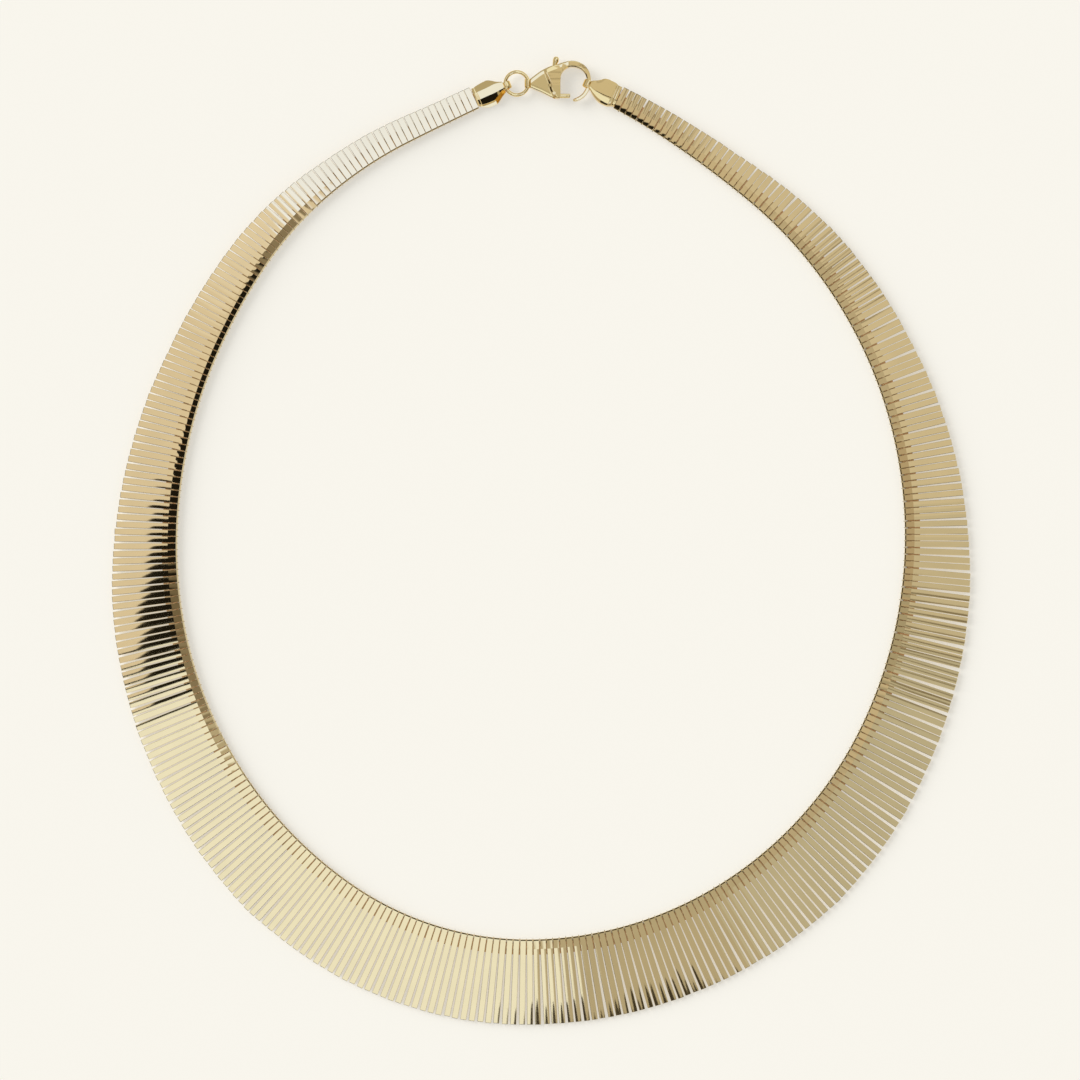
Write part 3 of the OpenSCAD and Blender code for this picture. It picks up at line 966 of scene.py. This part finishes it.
def anchors():
    """Places of the fittings: caps at the ends of the bars, ring and hook on the line between them."""
    bars, clasp = settings().bars, settings().clasp
    _, right_end = walk(RIGHT_ARCS, FRONT, FRONT_SLOPE, bars.pitch)
    _, left_end = walk(LEFT_ARCS, FRONT * (-1, 1), -FRONT_SLOPE, bars.pitch)
    right = cap_mouth(right_end, RIGHT_MOUTH, False)
    left = cap_mouth(left_end, LEFT_MOUTH, True)
    right_eye = right.point + clasp.cap_reach * ahead(right.heading)
    left_eye = (left.point + clasp.cap_reach * ahead(left.heading)) * (-1, 1)
    span = np.linalg.norm(right_eye - left_eye)
    line = math.atan2(*(right_eye - left_eye)[::-1])
    hook_at = span - math.sqrt(clasp.hook_r ** 2 - clasp.rise ** 2)
    ring_r = (clasp.ring_d - clasp.ring_wire) / 2
    ring_step = (ring_r - RING_SLACK) * ahead(math.radians(RING_TURN))

    def beside_line(x, y):
        return Spot(left_eye + x * ahead(line) - y * outward(line), line, height=MIDDLE_Z)

    eye_at = (ring_step[0] + ring_r - hook_at, ring_step[1] - clasp.rise)
    return Anchors(right_end, left_end, right, left, beside_line(*ring_step),
                   beside_line(hook_at, clasp.rise), eye_at)


def fittings_gold():
    made = bpy.data.materials.get("fittings_gold")
    return made or gold("fittings_gold", settings().gold.fittings, settings().gold.polish)


class NECKLACE_OT_core(bpy.types.Operator):
    """Lay the flat core inside the fold of the bars"""

    bl_idname = "necklace.core"
    bl_label = "Core"

    def execute(self, context):
        at = anchors()
        # The core's darker orange colour stands in for the shade inside the fold: painted shade.
        material = gold("core_gold", settings().gold.core, SATIN)
        shape = core_shape(at.right_end, at.left_end)
        add_piece("wide_core", shape, material, CHAIN, ("core_strip",))
        return {"FINISHED"}


class NECKLACE_OT_caps(bpy.types.Operator):
    """Put the folded caps on both ends"""

    bl_idname = "necklace.caps"
    bl_label = "Caps"

    def execute(self, context):
        at = anchors()
        right = at.right_cap.place(cap_shape(RIGHT_CAP, RIGHT_FACETS, RIGHT_STRAP))
        left = at.left_cap.place(join([cap_shape(LEFT_CAP, LEFT_FACETS, LEFT_STRAP), turned_edge(),
                                       bottom_sheet()]))
        add_piece("folded_cap_right", right, fittings_gold(), CHAIN, ("cap_right",))
        add_piece("folded_cap_left", left, fittings_gold(), CHAIN, ("cap_left",))
        return {"FINISHED"}


class NECKLACE_OT_ring(bpy.types.Operator):
    """Hang the ring between the left cap and the clasp"""

    bl_idname = "necklace.ring"
    bl_label = "Ring"

    def execute(self, context):
        clasp = settings().clasp
        path = [(x, y, 0) for x, y in circle((clasp.ring_d - clasp.ring_wire) / 2, 96)]
        ring = sweep(path, (clasp.ring_wire, clasp.ring_wire), sides=24, closed=True)
        shape = anchors().ring.place(ring)
        add_piece("round_ring", shape, fittings_gold(), CHAIN, ("jump_ring",))
        return {"FINISHED"}


class NECKLACE_OT_clasp(bpy.types.Operator):
    """Cast the clasp with its eye, cut the lever's slots and gild the pin"""

    bl_idname = "necklace.clasp"
    bl_label = "Clasp"

    def execute(self, context):
        clasp, at = settings().clasp, anchors()
        pin = np.array(clasp.pin)
        slots = [slab([point + pin for point in fan(*slot)], SLOT_HIGH) for slot in LEVER_SLOTS]
        shape = join([cut(casting(), slots), eye(*at.eye, 0.0, clasp.eye_r, clasp.eye_w)])
        shape = at.hook.place(shape)
        add_piece("cast_clasp", shape, fittings_gold(), CHAIN, ("clasp_body",), sharp_over=30)
        pin_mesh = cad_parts["clasp_pin"].data
        pin_mesh.materials.clear()
        pin_mesh.materials.append(fittings_gold())
        return {"FINISHED"}


class NECKLACE_OT_lever(bpy.types.Operator):
    """Shape the clasp's lever with its gate and thumb tab"""

    bl_idname = "necklace.lever"
    bl_label = "Lever"

    def execute(self, context):
        clasp = settings().clasp
        points, faces = lever_shape(clasp)
        shape = anchors().hook.place((points + (*clasp.pin, 0), faces))
        add_piece("rounded_lever", shape, fittings_gold(), LEVER, ("clasp_lever",),
                  sharp_over=40)
        return {"FINISHED"}


# Stage

# Cards of the light tent: radiance of each
KHAKI = (0.66, 0.66, 0.71)
STONE = (0.59, 0.60, 0.65)
OLIVE = (0.54, 0.57, 0.64)
DRAB = (0.50, 0.50, 0.52)
CREAM = (0.93, 1.07, 1.44)
TAN = (0.76, 0.757, 0.864)
PALE_TAN = (0.81, 0.83, 1.0)
WINDOW = (0.94, 1.16, 2.05)
SEAM = (0.20, 0.18, 0.16)
BLACK = (0.012, 0.011, 0.01)
DUSK = (0.05, 0.045, 0.04)
GLOW = (0.66, 0.70, 0.86)
BROWN = (0.18, 0.16, 0.14)
CLAY = (0.26, 0.24, 0.23)
UMBER = (0.42, 0.42, 0.43)
SAND = (0.48, 0.44, 0.42)
MUD = (0.52, 0.51, 0.53)
OAK = (0.61, 0.59, 0.60)

# Azimuths in degrees from +X, with the card that begins there
OVERHEAD = [(0, STONE), (4, KHAKI), (36, SEAM), (37.2, KHAKI), (41, SEAM), (42.2, KHAKI), (62.5, SEAM),
            (63.2, KHAKI), (66, SEAM), (67, KHAKI), (70, SEAM), (71, KHAKI), (88, WINDOW), (133, PALE_TAN),
            (149, TAN), (184, BLACK), (197, CREAM), (273.5, DRAB), (300, OLIVE), (341, SEAM), (343, OLIVE),
            (347, SEAM), (349, STONE)]
WALLS = [(0, BLACK), (4, BROWN), (12, CLAY), (23, DRAB), (28.5, CREAM), (93, DRAB), (128, MUD), (150, OAK),
         (160.5, UMBER), (172, SAND), (193, MUD), (225, OAK), (242, CREAM), (262, OLIVE), (292, WINDOW),
         (313.5, TAN), (317.5, CLAY), (328, BLACK)]
EDGES = [(0, UMBER), (90, OLIVE), (188, DUSK), (208, SAND), (238, DUSK), (262, KHAKI), (285, BLACK),
         (303, UMBER)]
HORIZON = [(0, GLOW), (26, UMBER), (33, BROWN), (60, DUSK), (275, BROWN), (314, GLOW)]
# Half the width of the soft borders between neighbouring cards, in degrees
CARD_BORDER = 0.35
# Angles off the zenith in degrees at which each ring of cards begins, and half the width of its soft border
Border = namedtuple("Border", "at half")
WALLS_BORDER = Border(21.5, 0.4)
EDGES_BORDER = Border(60, 1)
HORIZON_BORDER = Border(80, 1)
# Stretches round the horizon, in degrees: where each begins to come in and is in, begins to go and is gone
Stretch = namedtuple("Stretch", "comes is_in goes is_gone")
LEANING = Stretch(175.68, 178.92, 196.2, 200.16)
STREAKED = Stretch(267.84, 270, 293.4, 297)
PATCHED = Stretch(325.8, 331.2, 345.6, 354.6)
WEDGED = Stretch(233.64, 234.36, 240.84, 241.56)
# Degrees of azimuth that the cards over the left side lean for each degree off the zenith, the angle off it
# where they stand at their own azimuth, and the azimuth that they stop at
LEAN = 7
LEAN_ABOUT = 16.2
LEAN_STOP = 193
# Streaks at the front's tips: their waves a turn, how many degrees these reach, and the angles off the
# zenith between which the streaks come in
STREAK_WAVES = (52, 23)
STREAK_REACH = 0.65
STREAKS = (19.95, 20.2)
# How many degrees the tan patch reaches out from the overhead cards
PATCH_REACH = 16
# The dark wedge beside the right cap: an azimuth in turns, how many degrees a turn its border leans, and the
# angles off the zenith between which the wedge comes in at that azimuth
WEDGE_AT = 0.667
WEDGE_LEAN = 600
WEDGE = (39, 43)
# A colour ramp of Blender's holds this many stops.
MOST_STOPS = 32


def card_stops(cards):
    """Stops of a ramp round the horizon, with a soft border between cards."""
    stops = []
    for i, (azimuth, colour) in enumerate(cards):
        if i:
            stops.append(((azimuth - CARD_BORDER) / 360, cards[i - 1][1]))
            stops.append(((azimuth + CARD_BORDER) / 360, colour))
        else:
            stops.append((0.0, colour))
    return stops


def build_tent(stage):
    world = bpy.data.worlds.new("light_tent")
    bpy.context.scene.world = world
    graph = Graph(world)
    way = graph.node("ShaderNodeTexCoord", output="Generated")
    x, y, z = (graph.node("ShaderNodeSeparateXYZ", None, {0: way}, output=i) for i in range(3))
    turn = x.maths("ARCTAN2", y, x) / (2 * math.pi)
    azimuth = turn.maths("FRACT", turn + 1.0)
    off = z.maths("ARCCOSINE", z) * (180 / math.pi)

    def band(cards, azimuth):
        stops = card_stops(cards)
        parts = [stops[i:i + MOST_STOPS] for i in range(0, len(stops), MOST_STOPS - 1)]
        colour = graph.node("ShaderNodeValToRGB", {"stops": parts[0]}, {0: azimuth})
        for part in parts[1:]:
            more = graph.node("ShaderNodeValToRGB", {"stops": part}, {0: azimuth})
            colour = graph.mix(graph.smooth(azimuth, part[0][0], part[0][0] + 0.0001), colour, more)
        return colour

    def within(stretch):
        comes, is_in, goes, is_gone = (edge / 360 for edge in stretch)
        return graph.smooth(azimuth, comes, is_in) * (1 - graph.smooth(azimuth, goes, is_gone))

    def beyond(angle, border):
        return graph.smooth(angle, border.at - border.half, border.at + border.half)

    leaning = azimuth + (LEAN_ABOUT - off) * (LEAN / 360)
    leaning = azimuth + within(LEANING) * (leaning.maths("MINIMUM", leaning, LEAN_STOP / 360) - azimuth)
    waves = sum(azimuth.maths("SINE", azimuth * (count * 2 * math.pi)) for count in STREAK_WAVES)
    streaks = graph.smooth(off + waves * STREAK_REACH, *STREAKS) * within(STREAKED)
    overhead = graph.mix(streaks, band(OVERHEAD, leaning), rgba(DUSK))
    past_patch = beyond(off - within(PATCHED) * PATCH_REACH, WALLS_BORDER)
    walls = graph.mix(past_patch, rgba(TAN), band(WALLS, azimuth))
    wedge = graph.smooth(off - (WEDGE_AT - azimuth) * WEDGE_LEAN, *WEDGE) * within(WEDGED)
    walls = graph.mix(wedge, walls, rgba(BLACK))
    tent = graph.mix(beyond(off, WALLS_BORDER), overhead, walls)
    tent = graph.mix(beyond(off, EDGES_BORDER), tent, band(EDGES, azimuth))
    tent = graph.mix(beyond(off, HORIZON_BORDER), tent, band(HORIZON, azimuth))
    glossy = graph.node("ShaderNodeLightPath", output="Is Glossy Ray")
    even = rgba([stage.room] * 3)
    shown = graph.node("ShaderNodeBackground", None, {"Color": graph.mix(glossy, even, tent),
                                                      "Strength": stage.sky})
    graph.node("ShaderNodeOutputWorld", None, {"Surface": shown})


# Half the floor's width in metres, and how far it lies below the necklace, so that they don't touch
FLOOR_HALF = 3.0
FLOOR_DROP = 0.00002
# Where the lamp shines from, and the width of its disc in the sky in degrees
LAMP_FROM = (-0.78, 0.45, 0.44)
LAMP_WIDTH = 50


class NECKLACE_OT_stage(bpy.types.Operator):
    """Lay out the floor, the light and the camera over the necklace"""

    bl_idname = "necklace.stage"
    bl_label = "Stage"

    def execute(self, context):
        stage = settings().stage
        scene = context.scene
        scene.view_settings.view_transform = "Standard"
        data = bpy.data.cameras.new("camera")
        camera = bpy.data.objects.new("camera", data)
        scene.collection.objects.link(camera)
        camera.location = (stage.middle[0] * MM, stage.middle[1] * MM, stage.camera_mm * MM)
        data.sensor_width = 36
        data.lens = data.sensor_width * (stage.camera_mm - 1) / stage.frame_mm
        data.clip_start = 0.01
        scene.camera = camera

        mesh = bpy.data.meshes.new("floor")
        corners = ((-1, -1), (1, -1), (1, 1), (-1, 1))
        mesh.from_pydata([(x * FLOOR_HALF, y * FLOOR_HALF, -FLOOR_DROP) for x, y in corners], [],
                         [(0, 1, 2, 3)])
        floor = bpy.data.objects.new("floor", mesh)
        scene.collection.objects.link(floor)
        material = bpy.data.materials.new("pale_paper")
        graph = Graph(material)
        surface = graph.node("ShaderNodeBsdfPrincipled", None,
                             {"Base Color": rgba([c * (1 - stage.glow) for c in stage.floor]),
                              "Roughness": 0.9, "Specular IOR Level": 0.0,
                              "Emission Color": rgba(stage.floor), "Emission Strength": stage.glow})
        graph.node("ShaderNodeOutputMaterial", None, {"Surface": surface})
        mesh.materials.append(material)

        build_tent(stage)
        light = bpy.data.lights.new("soft_lamp", "SUN")
        light.energy = stage.lamp
        light.angle = math.radians(LAMP_WIDTH)
        lamp = bpy.data.objects.new("soft_lamp", light)
        scene.collection.objects.link(lamp)
        lamp.rotation_euler = Vector(LAMP_FROM).to_track_quat("Z", "Y").to_euler()
        lamp.visible_glossy = False
        return {"FINISHED"}


class NecklaceSettings(bpy.types.PropertyGroup):
    """All of the necklace's settings"""

    bars: PointerProperty(type=BarSettings)
    clasp: PointerProperty(type=ClaspSettings)
    gold: PointerProperty(type=GoldSettings)
    stage: PointerProperty(type=StageSettings)


class NECKLACE_PT_panel(bpy.types.Panel):
    """Sidebar panel that lists the steps"""

    bl_label = "Necklace"
    bl_idname = "NECKLACE_PT_panel"
    bl_space_type = "VIEW_3D"
    bl_region_type = "UI"
    bl_category = "Necklace"

    def draw(self, context):
        for operator in OPERATORS:
            self.layout.operator(operator.bl_idname)


OPERATORS = (NECKLACE_OT_stage, NECKLACE_OT_bars, NECKLACE_OT_loops, NECKLACE_OT_core, NECKLACE_OT_caps,
             NECKLACE_OT_ring, NECKLACE_OT_clasp, NECKLACE_OT_lever)
CLASSES = (BarSettings, ClaspSettings, GoldSettings, StageSettings, NecklaceSettings, *OPERATORS,
           NECKLACE_PT_panel)


def register():
    for made in CLASSES:
        bpy.utils.register_class(made)
    bpy.types.Scene.necklace = PointerProperty(type=NecklaceSettings)


def unregister():
    del bpy.types.Scene.necklace
    for made in reversed(CLASSES):
        bpy.utils.unregister_class(made)


def main():
    register()
    bpy.ops.necklace.stage()
    bpy.ops.necklace.bars()
    bpy.ops.necklace.loops()
    bpy.ops.necklace.core()
    bpy.ops.necklace.caps()
    bpy.ops.necklace.ring()
    bpy.ops.necklace.clasp()
    bpy.ops.necklace.lever()


if __name__ == "__main__":
    main()
